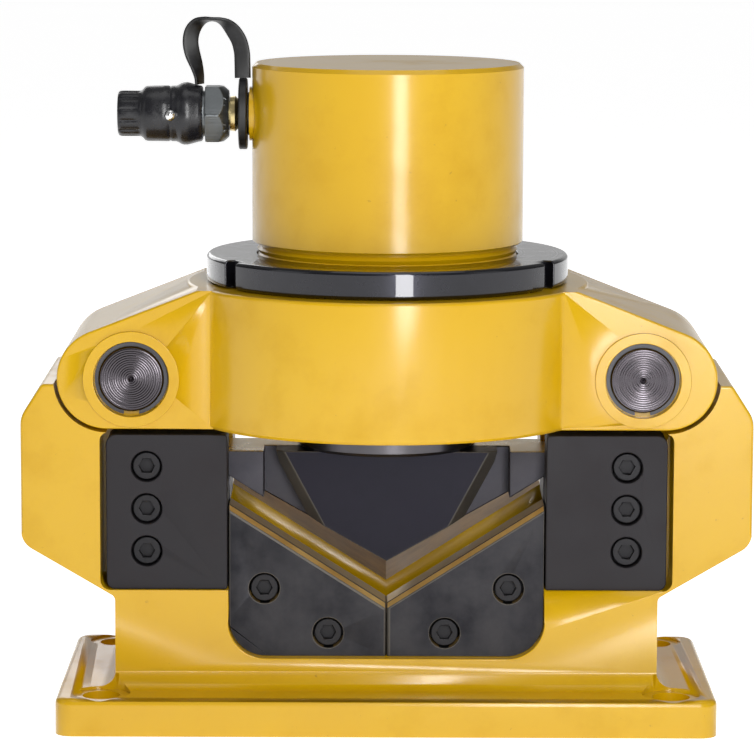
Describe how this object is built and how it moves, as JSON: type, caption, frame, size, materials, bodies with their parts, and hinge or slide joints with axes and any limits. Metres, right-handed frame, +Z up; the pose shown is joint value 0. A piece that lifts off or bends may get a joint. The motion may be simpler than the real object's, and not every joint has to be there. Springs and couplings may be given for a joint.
{
  "type": "hydraulic angle steel cutter",
  "caption": "Yellow hydraulic cutter head: cylinder with quick coupler on a pinned yoke and cast frame, V blades in the throat to shear angle bar, bolting base.",
  "frame": {"origin": "centre of the base's underside", "axes": "+X to the right seen from the front, -Y towards the front, where the lower blades and guide blocks show, +Z up along the cylinder"},
  "size_m": [0.426, 0.238, 0.4118],
  "materials": {
    "yellow_paint": "gloss enamel over cast and machined steel",
    "pin_steel": "turned",
    "spring_steel": "phosphated",
    "lower_blade_steel": "ground, oiled",
    "screw_steel": "black oxide",
    "guide_steel": "blackened",
    "blackened_steel": "black oxide, polished",
    "machined_steel": "turned",
    "seal_rubber": "matte",
    "bearing_bronze": "turned",
    "chromed_rod": "polished",
    "dark_ram_steel": "turned, oiled",
    "holder_steel": "black oxide",
    "upper_blade_steel": "ground, blackened",
    "nipple_brass": "zinc plated, yellow passivated",
    "coupler_steel": "grey plated",
    "cap_rubber": "moulded",
    "stud_steel": "polished",
    "strap_rubber": "moulded"
  },
  "bodies": {
    "root": {"frame": "yellow_paint", "yoke": "yellow_paint", "pin_left": "pin_steel", "pin_right": "pin_steel", "pin_circlips": "spring_steel", "lower_blade_left": "lower_blade_steel", "lower_blade_right": "lower_blade_steel", "lower_blade_screws": "screw_steel", "guide_block_left": "guide_steel", "guide_block_right": "guide_steel", "guide_block_screws": "screw_steel", "cylinder_body": "yellow_paint", "gland_nut": "machined_steel", "gland_seal": "seal_rubber", "rod_bearing": "bearing_bronze", "rod_seal": "seal_rubber", "rod_wiper": "seal_rubber", "port_nipple": "nipple_brass", "port_seal": "seal_rubber", "coupler_body": "coupler_steel", "coupler_spring_seat": "coupler_steel", "strap_ring": "strap_rubber", "cap_strap": "strap_rubber", "return_spring": "spring_steel"},
    "ram": {"piston": "machined_steel", "piston_seal": "seal_rubber", "piston_wear_ring": "bearing_bronze", "piston_nut": "screw_steel", "rod": "chromed_rod", "ram_head": "dark_ram_steel", "ram_head_screw": "screw_steel", "blade_holder": "holder_steel", "holder_screws": "screw_steel", "upper_blade": "upper_blade_steel", "upper_blade_screws": "screw_steel"},
    "ring": {"lock_ring": "blackened_steel"},
    "poppet": {"coupler_poppet": "nipple_brass", "poppet_seal": "seal_rubber", "poppet_spring": "spring_steel"},
    "cap": {"dust_cap": "cap_rubber", "cap_stud": "stud_steel"}
  },
  "joints": [
    {"name": "ram_stroke", "type": "slide", "parent": "root", "child": "ram", "axis": [0, 0, -1], "range_m": [0, 0.025], "stiffness_N_per_m": 8000, "springref_m": -0.05, "deforming": ["return_spring"]},
    {"name": "lock_ring_turn", "type": "hinge", "parent": "root", "child": "ring", "pos_m": [0, 0, 0.265], "axis": [0, 0, 1], "continuous": true},
    {"name": "coupler_poppet_push", "type": "slide", "parent": "root", "child": "poppet", "axis": [1, 0, 0], "range_m": [0, 0.003], "stiffness_N_per_m": 2000, "springref_m": -0.005},
    {"name": "dust_cap_pull", "type": "slide", "parent": "root", "child": "cap", "axis": [-1, 0, 0], "range_m": [0, 0.03]}
  ]
}
